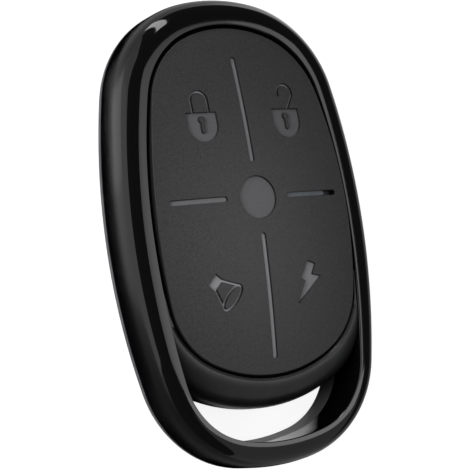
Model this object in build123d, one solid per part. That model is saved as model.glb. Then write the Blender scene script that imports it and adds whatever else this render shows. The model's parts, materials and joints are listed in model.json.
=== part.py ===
from build123d import *
import math
import os

os.makedirs("parts", exist_ok=True)

# Four-zone hand remote in millimetres: a pebble-shaped case inside a glossy loop.
# The back lies on z = 0, the keypad faces +Z, and the open key-ring end is at -Y.

# Loop round the whole remote, measured at its inner wall above and below the middle
loop_half_width = 17.55
loop_half_length = 31.0
loop_side_radius = 90.0
loop_end_radius = 20.0
loop_shoulder_radius = 13.2
loop_lower_length = 31.85
loop_lower_side_radius = 127.0
loop_lower_end_radius = 29.4
loop_lower_shoulder_radius = 11.6

# Width of the loop's bar at the sides, top and bottom, and the arcs of its outer outline
loop_band = 4.05
loop_top_band = 4.6
loop_low_band = 3.7
outer_side_radius = 107.0
outer_end_radius = 29.3
outer_shoulder_radius = 17.0
outer_lower_side_radius = 98.0
outer_lower_end_radius = 33.0
outer_lower_shoulder_radius = 16.9
loop_height = 9.6
loop_edge_radius = 3.1
lip_radius = 0.3
parting_height = 3.0
rear_wall_draft = 0.35

# Keypad outline below the middle, and its domed face
mat_gap = 0.5
mat_lower_length = 22.1
mat_lower_side_radius = 80.0
mat_lower_end_radius = 22.05
mat_lower_shoulder_radius = 11.5
dome_rise = 1.75
dome_radius_across = 130.0
dome_radius_along = 165.0
hub_y = 4.2

# Case that carries the keypad, with a rounded skirt below it
skirt_reach = 4.75
skirt_radius = 3.8
rim_height = 9.2
rim_start_y = -8.0
back_edge_radius = 4.0
case_wall = 1.3
skirt_wall = 1.75
floor_thickness = 1.2
deck_thickness = 0.8
mat_least_thickness = 0.8

# Engraving in the keypad
engrave_depth = 0.3
line_width = 0.75
line_inner = 5.4
line_top_gap = 4.7
line_bottom_gap = 2.3
line_side_gap = 2.2
hub_radius = 3.05
stroke = 0.36
window_end_depth = 0.9

# Pressing zones
zone_border = 1.7
cross_half_width = 1.6
hub_border = 1.4
web_gap = 0.2
key_travel = 0.3
key_floor_gap = 0.15
nub_radius = 1.5
nub_clearance = 0.5
key_x = 8.1
upper_key_y = 17.0
lower_key_y = -8.6

# Circuit board
board_thickness = 0.8
board_gap = 0.4
board_height = 4.9
trace_inset = 0.6
trace_width = 0.8
trace_thickness = 0.07
trace_screw_gap = 0.4

# Chips on the board
chip_standoff = 0.1
leg_thickness = 0.15
leg_reach = 1.0
lid_step = 0.4
controller_y = 14.5
controller_length = 3.9
controller_width = 4.9
controller_height = 1.5
controller_legs = 4
controller_pitch = 1.27
radio_y = -4.0
radio_side = 3.0
radio_height = 1.0
radio_legs = 5
radio_pitch = 0.5
radio_reach = 0.8
crystal_x = -8.5
crystal_length = 5.0
crystal_width = 3.2
crystal_height = 1.1
resonator_y = -9.5
resonator_side = 3.8
resonator_height = 1.3
resistor_pitch = 1.5
resistor_row_y = 8.8
resistor_length = 0.6
resistor_width = 1.2
resistor_height = 0.4
capacitor_pitch = 3.0
capacitor_screw_gap = 1.2
capacitor_length = 0.8
capacitor_width = 1.4
capacitor_height = 0.7
radio_part_x = 4.2
radio_part_y = -3.0
resonator_part_x = 3.6

# Tact switches, low profile
switch_size = 5.2
switch_base_height = 1.0
switch_cover_thickness = 0.15
switch_recess_radius = 2.0
switch_recess_depth = 0.7
dome_shell = 0.08
dome_height = 0.42
dome_radius_fit = 0.05
stem_radius = 1.1
stem_flange_radius = 1.5
stem_flange_height = 0.13
stem_clearance = 0.08
stem_play = 0.02
stem_height = 0.75

# Coin cell, 20 mm across and 3.2 mm high
cell_radius = 10.0
cell_height = 3.2
cell_can_height = 2.9
cell_cap_radius = 8.9
cell_wall = 0.25
cell_gasket = 0.4
cell_gap = 0.05
cell_y = 4.2
cradle_gap = 0.2
cradle_wall = 1.0
cradle_height = 2.0
contact_thickness = 0.2
contact_width = 4.0
contact_foot = 2.4
contact_rise = 0.6
leaf_half_length = 6.0

# Screws and their bosses
screw_top_inset = 5.8
screw_side_inset = 7.1
screw_low_inset = 4.9
screw_head_radius = 1.55
screw_head_height = 0.9
screw_recess_radius = 1.8
screw_recess_depth = 1.3
screw_core_radius = 0.65
screw_length = 4.4
thread_gap = 0.02
boss_radius = 2.3
boss_neck_radius = 1.6
boss_foot_radius = 2.8
boss_foot_height = 1.0
boss_gap = 0.2
boss_roof = 0.5
cross_length = 1.8
cross_width = 0.35
cross_depth = 0.5

# Indicator window and its lamp
window_end_gap = 2.25
window_drop = 0.15
window_gap = 0.04
pipe_end_gap = 2.4
pipe_foot_radius = 0.9
pipe_gap = 0.2
lamp_length = 1.6
lamp_width = 0.8
lamp_height = 0.65
lamp_gap = 0.15

# Bare recess on the back for a label
label_width = 16.0
label_length = 10.0
label_depth = 0.15
label_corner = 1.0
label_y = 8.0

far = 60.0
deck_top = rim_height - mat_least_thickness
deck_bottom = deck_top - deck_thickness
board_top = board_height + board_thickness
dome_apex = loop_height + dome_rise
key_bottom = deck_top + key_travel + key_floor_gap
stem_base = board_top + switch_base_height - stem_flange_height - stem_play
stem_top = stem_base + stem_height
cell_bottom = floor_thickness + cell_gap
cell_top = cell_bottom + cell_height

line_top_end = loop_half_length - mat_gap - hub_y - line_top_gap
line_bottom_end = mat_lower_length + hub_y - line_bottom_gap
line_side_end = loop_half_width - mat_gap - line_side_gap
window_end = line_side_end - window_end_gap
pipe_x = window_end - pipe_end_gap
screw_top_y = loop_half_length - screw_top_inset
screw_low_x = loop_half_width - screw_side_inset
screw_low_y = screw_low_inset - mat_lower_length
trace_end_y = screw_low_y + boss_radius + trace_screw_gap
capacitor_row_y = screw_top_y - boss_radius - capacitor_screw_gap - capacitor_width / 2

loop_half = (loop_half_width, loop_half_length, loop_side_radius, loop_end_radius, loop_shoulder_radius)
loop_lower_half = (
    loop_half_width,
    loop_lower_length,
    loop_lower_side_radius,
    loop_lower_end_radius,
    loop_lower_shoulder_radius,
)
outer_half = (
    loop_half_width + loop_band,
    loop_half_length + loop_top_band,
    outer_side_radius,
    outer_end_radius,
    outer_shoulder_radius,
)
outer_lower_half = (
    loop_half_width + loop_band,
    loop_lower_length + loop_low_band,
    outer_lower_side_radius,
    outer_lower_end_radius,
    outer_lower_shoulder_radius,
)
mat_top_half = tuple(size - mat_gap for size in loop_half)
mat_lower_half = (
    loop_half_width - mat_gap,
    mat_lower_length,
    mat_lower_side_radius,
    mat_lower_end_radius,
    mat_lower_shoulder_radius,
)

switch_places = {
    "lock": (-key_x, upper_key_y),
    "unlock": (key_x, upper_key_y),
    "alarm": (-key_x, lower_key_y),
    "bolt": (key_x, lower_key_y),
}
screw_places = [(0, screw_top_y), (-screw_low_x, screw_low_y), (screw_low_x, screw_low_y)]


def save(name, shape):
    shape.label = name
    export_step(shape, f"parts/{name}.step")


def half_arcs(width, length, side, end, shoulder):
    # Right-hand side arc, right-hand shoulder arc and whole end arc of the upper half of an oval,
    # each as centre x, centre y, radius, start angle and sweep. Neighbours are tangent.
    side_x = width - side
    end_y = length - end
    span = math.hypot(side_x, end_y)
    along = ((side - shoulder) ** 2 - (end - shoulder) ** 2 + span**2) / (2 * span)
    across = math.sqrt((side - shoulder) ** 2 - along**2)
    toward_x = -side_x / span
    toward_y = end_y / span
    shoulder_x = side_x + along * toward_x - across * toward_y
    shoulder_y = along * toward_y + across * toward_x
    first = math.degrees(math.atan2(shoulder_y, shoulder_x - side_x))
    second = math.degrees(math.atan2(shoulder_y - end_y, shoulder_x))
    return [
        (side_x, 0, side, 0, first),
        (shoulder_x, shoulder_y, shoulder, first, second - first),
        (0, end_y, end, second, 180 - 2 * second),
    ]


def oval(upper, lower, grow=0.0):
    # Closed outline of tangent arcs, symmetric about x = 0, offset outwards by grow
    edges = []
    for half, up in ((upper, 1), (lower, -1)):
        arcs = half_arcs(*(size + grow for size in half))
        for x, y, radius, start, sweep in arcs:
            edges.append(CenterArc((x, up * y), radius, up * start, up * sweep))
        for x, y, radius, start, sweep in arcs[:2]:
            edges.append(CenterArc((-x, up * y), radius, up * (180 - start), -up * sweep))
    return Face(Wire(edges))


def loop_oval(grow=0.0):
    return oval(loop_half, loop_lower_half, grow)


def mat_oval(grow=0.0):
    return oval(mat_top_half, mat_lower_half, grow)


def prism(shape, low, high):
    return extrude(Pos(0, 0, low) * shape, high - low, dir=(0, 0, 1))


def disc(x, y, radius, low, high):
    return prism(Pos(x, y) * Circle(radius), low, high)


def block(x, y, length, width, low, high):
    return prism(Pos(x, y) * Rectangle(length, width), low, high)


def top_edges(shape):
    return shape.edges().group_by(Axis.Z)[-1]


def low_edges(shape):
    return shape.edges().group_by(Axis.Z)[0]


def slab(low, high):
    return block(0, 0, 2 * far, 2 * far, low, high)


def under_dome(drop=0.0):
    # Everything below the keypad's domed face, which is lowered by drop
    apex = dome_apex - drop
    reach = loop_half_width + loop_band
    sag = dome_radius_across - math.sqrt(dome_radius_across**2 - reach**2)
    base = deck_top / 2
    arc = ThreePointArc((-reach, apex - sag), (0, apex), (reach, apex - sag))
    sides = Polyline((reach, apex - sag), (reach, base), (-reach, base), (-reach, apex - sag))
    profile = Plane.XZ.offset(-hub_y) * make_face([arc] + list(sides.edges()))
    axis = Axis((0, hub_y, apex - dome_radius_along), (1, 0, 0))
    swing = math.degrees(1.2 * (loop_half_length + loop_band) / dome_radius_along)
    return revolve(profile.rotate(axis, -swing), axis, 2 * swing)


def thin_line(path, width=stroke):
    # A stroke with round ends along a path of lines and arcs
    band = trace(path, width)
    for point in (path @ 0, path @ 1):
        band += Pos(point.X, point.Y) * Circle(width / 2)
    return band


# Outer pebble, and the pod that fills it above the key-ring hole
dome = under_dome()
engraved_floor = under_dome(engrave_depth)
window_end_floor = under_dome(window_end_depth)
pebble = prism(oval(outer_half, outer_lower_half), 0, loop_height)
pebble = fillet(top_edges(pebble) + low_edges(pebble), loop_edge_radius)
pod = prism(mat_oval(skirt_reach), 0, rim_height)
pod = fillet(top_edges(pod), skirt_radius)
pod = fillet(low_edges(pod), back_edge_radius)
cavity_face = loop_oval(-case_wall) & mat_oval(skirt_reach - skirt_wall)


def make_loop_trim():
    ring = pebble & slab(parting_height, far)
    ring -= prism(loop_oval(), 0, far)
    lip = top_edges(ring).sort_by(Edge.length.fget)
    inner = [edge for edge in lip if is_inner(edge)]
    return fillet(inner, lip_radius)


def is_inner(edge):
    # True for an edge of the loop's inner wall, which starts a lip's width inside the flat top
    point = edge.position_at(0.5)
    probe = Vertex(point.X, point.Y, 0)
    return loop_oval().outer_wire().distance_to(probe) < lip_radius / 10


def make_rear_shell():
    ring = pebble & slab(0, parting_height)
    ring -= loft([loop_oval(-rear_wall_draft), Pos(0, 0, parting_height) * loop_oval()], ruled=True)
    floor = pod & pebble & slab(0, parting_height)
    shell = ring + floor
    shell -= prism(cavity_face, floor_thickness, far)
    cradle_inner = cell_radius + cradle_gap
    cradle_top = floor_thickness + cradle_height
    cradle = disc(0, cell_y, cradle_inner + cradle_wall, floor_thickness, cradle_top)
    cradle -= disc(0, cell_y, cradle_inner, floor_thickness, cradle_top)
    notch = contact_width + 2 * cradle_gap
    cradle -= block(cradle_inner, cell_y, 2 * cradle_inner, notch, floor_thickness, cradle_top)
    shell += cradle
    foot_top = floor_thickness + boss_foot_height
    for x, y in screw_places:
        shell += disc(x, y, boss_foot_radius, 0.5 * floor_thickness, foot_top)
        shell -= disc(x, y, screw_recess_radius, 0, screw_recess_depth)
        shell -= disc(x, y, screw_core_radius + boss_gap, 0, foot_top)
    label = Pos(0, label_y) * RectangleRounded(label_width, label_length, label_corner)
    return shell - prism(label, 0, label_depth)


def make_front_case():
    case = pod & prism(loop_oval(), parting_height, far)
    window = prism(mat_oval(mat_gap), deck_top, far)
    upper = block(0, rim_start_y + far, 2 * far, 2 * far, deck_top, far)
    case -= window + upper
    case -= prism(cavity_face, 0, deck_bottom)
    boss_bottom = floor_thickness + boss_foot_height
    for x, y in screw_places:
        case += disc(x, y, boss_radius, board_top, deck_bottom)
        case += disc(x, y, boss_neck_radius, boss_bottom, deck_bottom)
        case -= disc(x, y, screw_core_radius, boss_bottom, deck_bottom - boss_roof)
    for x, y in switch_places.values():
        case -= disc(x, y, nub_radius + nub_clearance, deck_bottom, deck_top)
    case -= disc(pipe_x, hub_y, pipe_foot_radius + pipe_gap, deck_bottom, deck_top)
    return case


def zone_face(inset=0.0):
    # The four pressing zones as one sketch, each inset from its neighbours
    zones = mat_oval(-zone_border - inset)
    zones -= Rectangle(2 * (cross_half_width + inset), 2 * far)
    zones -= Pos(0, hub_y) * Rectangle(2 * far, 2 * (cross_half_width + inset))
    zones -= Pos(0, hub_y) * Circle(hub_radius + hub_border + inset)
    return zones


def one_zone(name, inset=0.0):
    x, y = switch_places[name]
    return min(zone_face(inset).faces(), key=lambda face: face.distance_to(Vertex(x, y, 0)))


def engraved(sketch):
    # Cutter that leaves a floor engrave_depth below the keypad's domed face
    return prism(sketch, deck_top, far) - engraved_floor


def slot(start, end, across=False):
    # Sketch of a dividing line with round ends, from start to end along y, or along x
    centre = (start + end) / 2
    shape = SlotOverall(abs(end - start), line_width)
    if across:
        return Pos(centre, hub_y) * shape
    return Pos(0, hub_y + centre) * Rot(0, 0, 90) * shape


def make_keypad_mat():
    mat = prism(mat_oval(), deck_top, far) & dome
    for name in switch_places:
        mat -= prism(one_zone(name), 0, far)
    mat -= engraved(Pos(0, hub_y) * Circle(hub_radius))
    mat -= engraved(slot(line_inner, line_top_end))
    mat -= engraved(slot(-line_inner, -line_bottom_end))
    mat -= engraved(slot(-line_inner, -line_side_end, across=True))
    mat -= engraved(slot(line_inner, line_side_end, across=True))
    mat -= prism(slot(window_end - line_width, line_side_end, across=True), deck_top, far) - window_end_floor
    return mat - prism(window_face(), 0, far)


def window_face(inset=0.0):
    length = window_end - line_inner - 2 * inset
    centre = (window_end + line_inner) / 2
    return Pos(centre, hub_y) * Rectangle(length, line_width - 2 * inset)


def lock_body(x, top):
    # Shield shape with a round bottom and a keyhole that stays proud
    half = 2.55
    straight = 1.85
    keyhole_radius = 0.55
    keyhole_drop = 1.1
    slot_length = 2.05
    slot_width = 0.6
    body = Pos(x, top - straight / 2) * Rectangle(2 * half, straight)
    body += Pos(x, top - straight) * Circle(half)
    body -= Pos(x, top + half) * Rectangle(2 * half, 2 * half)
    body -= Pos(x, top - keyhole_drop) * Circle(keyhole_radius)
    body -= Pos(x, top - keyhole_drop - slot_length / 2) * SlotOverall(slot_length, slot_width, rotation=90)
    return body


def closed_lock():
    x = -7.4
    top = 17.35
    half = 1.37
    legs = 1.85
    foot = top - stroke / 3
    path = Line((x - half, foot), (x - half, top + legs))
    path += ThreePointArc((x - half, top + legs), (x, top + legs + half), (x + half, top + legs))
    path += Line((x + half, top + legs), (x + half, foot))
    return lock_body(x, top) + thin_line(path)


def open_lock():
    x = 7.7
    top = 17.55
    foot = (x + 0.65, top - stroke / 3)
    bend = (x + 1.95, top + 2.2)
    crown = (x + 0.65, top + 3.85)
    tip = (x - 0.77, top + 2.15)
    path = Line(foot, bend)
    path += ThreePointArc(bend, crown, tip)
    return lock_body(x, top) + thin_line(path)


def loudspeaker():
    # Drawn along +X from the back of the magnet, then turned to its slant
    magnet = 1.5
    magnet_half = 1.03
    mouth = 4.25
    mouth_half = 2.2
    mouth_bulge = 0.85
    horn = magnet_half - stroke / 2
    back = (-9.6, -7.3)
    slant = -43
    sketch = Pos(magnet / 2, 0) * Rectangle(magnet, 2 * magnet_half)
    for side in (1, -1):
        sketch += thin_line(Line((magnet - stroke / 2, side * horn), (mouth, side * mouth_half)))
    sketch += Pos(mouth, 0) * Ellipse(mouth_bulge + stroke / 2, mouth_half + stroke / 2)
    sketch -= Pos(mouth, 0) * Ellipse(mouth_bulge - stroke / 2, mouth_half - stroke / 2)
    return Pos(*back) * Rot(0, 0, slant) * sketch


def lightning():
    points = [(7.6, -5.9), (9.0, -6.5), (8.2, -8.0), (9.8, -8.4), (5.1, -12.2), (6.8, -8.9), (6.1, -8.4)]
    return make_face(Polyline(*points, close=True))


icons = {"lock": closed_lock, "unlock": open_lock, "alarm": loudspeaker, "bolt": lightning}


def make_key(name):
    x, y = switch_places[name]
    key = prism(one_zone(name, web_gap), key_bottom, far) & dome
    key += disc(x, y, nub_radius, stem_top, key_bottom + engrave_depth)
    return key - engraved(icons[name]())


def make_light_pipe():
    bar = prism(window_face(window_gap), deck_top, far) & under_dome(window_drop)
    foot_bottom = board_top + lamp_height + lamp_gap
    return bar + disc(pipe_x, hub_y, pipe_foot_radius, foot_bottom, deck_top)


def make_circuit_board():
    edge = loop_oval(-case_wall - board_gap) & mat_oval(skirt_reach - skirt_wall - board_gap)
    board = prism(edge, board_height, board_top)
    for x, y in screw_places:
        board -= disc(x, y, boss_neck_radius + boss_gap, board_height, board_top)
    return board


def make_antenna_trace():
    def ring_face(inset):
        grow = -board_gap - inset
        return loop_oval(grow - case_wall) & mat_oval(grow + skirt_reach - skirt_wall)

    band = ring_face(trace_inset) - ring_face(trace_inset + trace_width)
    band -= Pos(0, trace_end_y - far) * Rectangle(2 * far, 2 * far)
    return prism(band, board_top, board_top + trace_thickness)


def make_switch_base(x, y):
    top = board_top + switch_base_height
    base = block(x, y, switch_size, switch_size, board_top, top)
    return base - disc(x, y, switch_recess_radius, top - switch_recess_depth, top)


def make_switch_cover(x, y):
    low = board_top + switch_base_height
    cover = block(x, y, switch_size, switch_size, low, low + switch_cover_thickness)
    return cover - disc(x, y, stem_radius + stem_clearance, low, low + switch_cover_thickness)


def make_switch_dome(x, y):
    # Thin spherical snap disc that stands on the recess's floor
    base = board_top + switch_base_height - switch_recess_depth
    half = switch_recess_radius - dome_radius_fit
    rise = dome_height
    radius = (half**2 + rise**2) / (2 * rise)
    centre = base + rise - radius
    cap = Pos(x, y, centre) * Sphere(radius)
    cap -= Pos(x, y, centre) * Sphere(radius - dome_shell)
    return cap & block(x, y, switch_size, switch_size, base, base + rise)


def make_switch_stem(x, y):
    stem = disc(x, y, stem_radius, stem_base, stem_top)
    return stem + disc(x, y, stem_flange_radius, stem_base, stem_base + stem_flange_height)


def make_cell_can():
    can_top = cell_bottom + cell_can_height
    can = disc(0, cell_y, cell_radius, cell_bottom, can_top)
    can = fillet(top_edges(can) + low_edges(can), cell_wall)
    return can - disc(0, cell_y, cell_radius - cell_wall, cell_bottom + cell_wall, can_top)


def make_cell_gasket():
    outer = cell_radius - cell_wall
    low = cell_bottom + cell_wall
    high = cell_bottom + cell_can_height
    ring = disc(0, cell_y, outer, low, high)
    return ring - disc(0, cell_y, outer - cell_gasket, low, high)


def make_cell_cap():
    inner = cell_radius - cell_wall - cell_gasket
    shoulder = cell_bottom + cell_can_height - cell_wall
    cap = disc(0, cell_y, inner, cell_bottom + cell_wall, shoulder)
    cap += disc(0, cell_y, cell_cap_radius, shoulder, cell_top)
    return fillet(top_edges(cap), cell_wall / 2)


def make_positive_contact():
    # Strap that runs down the side of the can from a foot under the board
    side = cell_radius + cell_gap
    high = board_height
    low = cell_bottom + contact_rise
    leg = block(side + contact_thickness / 2, cell_y, contact_thickness, contact_width, low, high)
    foot_x = side + contact_foot / 2
    return leg + block(foot_x, cell_y, contact_foot, contact_width, high - contact_thickness, high)


def make_negative_contact():
    # Shallow leaf spring: its ends are under the board and its middle rests on the cap
    half = leaf_half_length
    low = cell_top
    high = board_height
    arc = ThreePointArc((-half, high - contact_thickness), (0, low), (half, high - contact_thickness))
    back = ThreePointArc((half, high), (0, low + contact_thickness), (-half, high))
    ends = [Line(arc @ 1, back @ 0), Line(back @ 1, arc @ 0)]
    profile = Plane.XZ.offset(-cell_y) * make_face([arc, back] + ends)
    return extrude(profile, contact_width / 2, both=True)


def make_screw(x, y):
    head_top = screw_recess_depth
    head = disc(x, y, screw_head_radius, head_top - screw_head_height, head_top)
    low = head_top - screw_head_height
    cross = block(x, y, cross_length, cross_width, low, low + cross_depth)
    cross += block(x, y, cross_width, cross_length, low, low + cross_depth)
    shank = disc(x, y, screw_core_radius - thread_gap, head_top, head_top + screw_length)
    return head - cross + shank


def chip(y, length, width, height, legs, pitch, reach):
    # Moulded body on the board's middle line, with flat legs on its two x sides
    low = board_top + chip_standoff
    body = block(0, y, length, width, low, board_top + height)
    for row in range(legs):
        leg_y = y + (row - (legs - 1) / 2) * pitch
        body += block(0, leg_y, length + 2 * reach, 0.4 * pitch, board_top, low + leg_thickness)
    return body


def lidded_can(x, y, length, width, height):
    base = block(x, y, length, width, board_top, board_top + 0.4 * height)
    lid = block(x, y, length - lid_step, width - lid_step, board_top, board_top + height)
    return base + lid


def small_chips(places, length, width, height):
    return Compound([block(x, y, length, width, board_top, board_top + height) for x, y in places])


save("loop_trim", make_loop_trim())
save("rear_shell", make_rear_shell())
save("front_case", make_front_case())
save("keypad_mat", make_keypad_mat())
for name, (x, y) in switch_places.items():
    save(f"{name}_key", make_key(name))
    save(f"{name}_switch_base", make_switch_base(x, y))
    save(f"{name}_switch_cover", make_switch_cover(x, y))
    save(f"{name}_switch_dome", make_switch_dome(x, y))
    save(f"{name}_switch_stem", make_switch_stem(x, y))
save("light_pipe", make_light_pipe())
save("indicator_lamp", block(pipe_x, hub_y, lamp_length, lamp_width, board_top, board_top + lamp_height))
save("circuit_board", make_circuit_board())
save("antenna_trace", make_antenna_trace())
controller = (controller_y, controller_length, controller_width, controller_height)
save("controller_chip", chip(*controller, controller_legs, controller_pitch, leg_reach))
radio = (radio_y, radio_side, radio_side, radio_height)
save("radio_chip", chip(*radio, radio_legs, radio_pitch, radio_reach))
save("crystal", lidded_can(crystal_x, hub_y, crystal_length, crystal_width, crystal_height))
save("saw_resonator", lidded_can(0, resonator_y, resonator_side, resonator_side, resonator_height))
resistors = [(step * resistor_pitch, resistor_row_y) for step in (-2, -1, 0, 1, 2)]
resistors.append((radio_part_x, radio_part_y))
capacitors = [(step * capacitor_pitch, capacitor_row_y) for step in (-1, 0, 1)]
capacitors.append((-radio_part_x, radio_part_y))
capacitors += [(side * resonator_part_x, resonator_y) for side in (-1, 1)]
save("chip_resistors", small_chips(resistors, resistor_length, resistor_width, resistor_height))
save("chip_capacitors", small_chips(capacitors, capacitor_length, capacitor_width, capacitor_height))
save("coin_cell_can", make_cell_can())
save("coin_cell_gasket", make_cell_gasket())
save("coin_cell_cap", make_cell_cap())
save("positive_contact", make_positive_contact())
save("negative_contact", make_negative_contact())
save("case_screws", Compound([make_screw(x, y) for x, y in screw_places]))
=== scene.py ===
import json
from functools import partial
from math import atan2, ceil, cos, hypot, pi, radians, sin, sqrt

import bmesh
import bpy
import numpy as np
from mathutils import Matrix, Vector
from mathutils.geometry import delaunay_2d_cdt


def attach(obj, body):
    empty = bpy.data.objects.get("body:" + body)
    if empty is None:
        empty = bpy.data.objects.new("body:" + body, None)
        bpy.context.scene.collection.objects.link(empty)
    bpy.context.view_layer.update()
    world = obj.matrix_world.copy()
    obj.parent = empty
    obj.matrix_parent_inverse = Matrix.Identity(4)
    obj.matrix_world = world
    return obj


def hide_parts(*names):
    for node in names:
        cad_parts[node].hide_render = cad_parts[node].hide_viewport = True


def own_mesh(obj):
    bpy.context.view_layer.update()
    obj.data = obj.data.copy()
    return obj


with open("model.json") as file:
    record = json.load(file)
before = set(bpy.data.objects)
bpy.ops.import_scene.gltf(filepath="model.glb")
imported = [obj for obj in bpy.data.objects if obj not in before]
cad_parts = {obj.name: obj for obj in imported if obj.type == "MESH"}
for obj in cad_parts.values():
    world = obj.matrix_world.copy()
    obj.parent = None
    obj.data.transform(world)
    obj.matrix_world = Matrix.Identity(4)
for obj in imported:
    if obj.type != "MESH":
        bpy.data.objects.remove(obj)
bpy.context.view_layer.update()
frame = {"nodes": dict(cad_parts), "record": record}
mm = 0.001   # the frame is in metres; the sizes below are in millimetres
print("frame loaded:", len(frame["nodes"]), "nodes")

# Inner wall and outside of the loop and the keypad's outline, each above and below the middle:
# half width, half length, then the radii of the side, end and shoulder arcs
outline = {
    "wallTop": (17.55, 31.0, 90.0, 20.0, 13.2),
    "wallLow": (17.55, 31.85, 127.0, 29.4, 11.6),
    "outerTop": (21.6, 35.6, 107.0, 29.3, 17.0),
    "outerLow": (21.6, 35.55, 98.0, 33.0, 16.9),
    "keypadTop": (17.05, 30.5, 89.5, 19.5, 12.7),
    "keypadLow": (17.05, 22.1, 80.0, 22.05, 11.5),
}
hubY = 4.2   # the hub's middle


def addNode(tree, kind, values=None, links=None, **settings):
    node = tree.nodes.new(kind)
    for key, value in settings.items():
        setattr(node, key, value)
    for key, value in (values or {}).items():
        node.inputs[key].default_value = value
    for key, source in (links or {}).items():
        socket = source.outputs[0] if isinstance(source, bpy.types.Node) else source
        tree.links.new(socket, node.inputs[key])
    return node


def halfArcs(width, length, side, end, shoulder):
    # Side, shoulder and end arcs of half an oval: centre x and y, radius, start angle and sweep
    sideX = width - side
    endY = length - end
    span = hypot(sideX, endY)
    along = ((side - shoulder) ** 2 - (end - shoulder) ** 2 + span ** 2) / (2 * span)
    across = sqrt((side - shoulder) ** 2 - along ** 2)
    shoulderX = sideX - (along * sideX + across * endY) / span
    shoulderY = (along * endY - across * sideX) / span
    first = atan2(shoulderY, shoulderX - sideX)
    second = atan2(shoulderY - endY, shoulderX)
    return [
        (sideX, 0, side, 0, first),
        (shoulderX, shoulderY, shoulder, first, second - first),
        (0, endY, end, second, pi - 2 * second),
    ]


def ovalPoints(upper, lower, grow=0.0, step=0.5):
    # Closed outline, anticlockwise from the middle of the right-hand side
    runs = []
    for half, up in ((upper, 1), (lower, -1)):
        arcs = halfArcs(*half)
        run = []
        there, back = [(1, a) for a in arcs], [(-1, a) for a in arcs[1::-1]]
        for mirror, (x, y, radius, start, sweep) in there + back:
            count = max(2, ceil(radius * sweep / step))
            for k in range(count):
                share = k / count if mirror == 1 else 1 - k / count
                angle = start + sweep * share
                reach = radius + grow
                run.append((mirror * (x + reach * cos(angle)), up * (y + reach * sin(angle))))
        runs.append(run)
    farLeft = (-upper[0] - grow, 0.0)
    return runs[0] + [farLeft] + runs[1][:0:-1]


def ovalField(x, y, upper, lower):
    # Signed distance to the oval, negative inside
    result = np.zeros_like(x)
    for half, up in ((upper, 1), (lower, -1)):
        side, shoulder, end = halfArcs(*half)
        px = np.abs(x)
        py = up * y
        inSide = np.arctan2(py - side[1], px - side[0]) <= side[4]
        inEnd = np.arctan2(py - end[1], px - end[0]) >= end[3]
        toArc = [np.hypot(px - arc[0], py - arc[1]) - arc[2] for arc in (side, shoulder, end)]
        distance = np.where(inSide, toArc[0], np.where(inEnd, toArc[2], toArc[1]))
        result = np.where(py >= 0, distance, result)
    return result


def keypadField(x, y):
    return ovalField(x, y, outline["keypadTop"], outline["keypadLow"])


def addObject(name, data):
    added = bpy.data.objects.new(name, data)
    bpy.context.scene.collection.objects.link(added)
    return added


def newPiece(name, points, faces, edges=()):
    mesh = bpy.data.meshes.new(name)
    mesh.from_pydata([tuple(p) for p in points], list(edges), [tuple(f) for f in faces])
    return addObject(name, mesh)


def smooth(piece, angle):
    piece.data.shade_smooth()
    piece.data.set_sharp_from_angle(angle=radians(angle))


def dress(piece, material):
    piece.data.materials.clear()
    piece.data.materials.append(material)


def plainMesh(piece):
    # Turns the result of a piece's modifiers into its own mesh
    graph = bpy.context.evaluated_depsgraph_get()
    mesh = bpy.data.meshes.new_from_object(piece.evaluated_get(graph))
    piece.modifiers.clear()
    piece.data = mesh
    mesh.name = piece.name


def standFor(piece, nodeName, body):
    # The piece rides on a body and takes the place of a CAD node
    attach(piece, body)
    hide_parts(nodeName)


def copyNode(nodeName, pieceName, slotName, sharpFrom=25, weld=0.0005):
    # A merged, smoothly shaded copy of a CAD node on the case stands for it
    source = frame["nodes"][nodeName]
    shell = bmesh.new()
    shell.from_mesh(source.data)
    bmesh.ops.remove_doubles(shell, verts=shell.verts, dist=weld * mm)
    mesh = bpy.data.meshes.new(pieceName)
    shell.to_mesh(mesh)
    shell.free()
    piece = addObject(pieceName, mesh)
    smooth(piece, sharpFrom)
    even = piece.modifiers.new("even", "WEIGHTED_NORMAL")   # flat faces stay flat beside their rounded edges
    even.keep_sharp = True
    plainMesh(piece)
    dress(piece, finishes[slotName])
    standFor(piece, nodeName, "case")
    return piece


# Materials

def toLinear(hexColour):
    parts = [int(hexColour[i:i + 2], 16) / 255 for i in (1, 3, 5)]
    return tuple([p / 12.92 if p <= 0.04045 else ((p + 0.055) / 1.055) ** 2.4 for p in parts] + [1.0])


def newMaterial(name):
    # An empty material, and the call that adds a node to it
    material = bpy.data.materials.new(name)
    material.use_nodes = True
    material.node_tree.nodes.clear()
    return material, partial(addNode, material.node_tree)


# What all the grained finishes share: how coarse the broad patches are, the share of the noise over which
# the colour and the roughness change, and the height of the grain against its width
grainShape = {"patches": 0.04, "colourRange": (0.35, 0.95), "roughRange": (0.3, 0.7), "height": 0.1}


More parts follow.
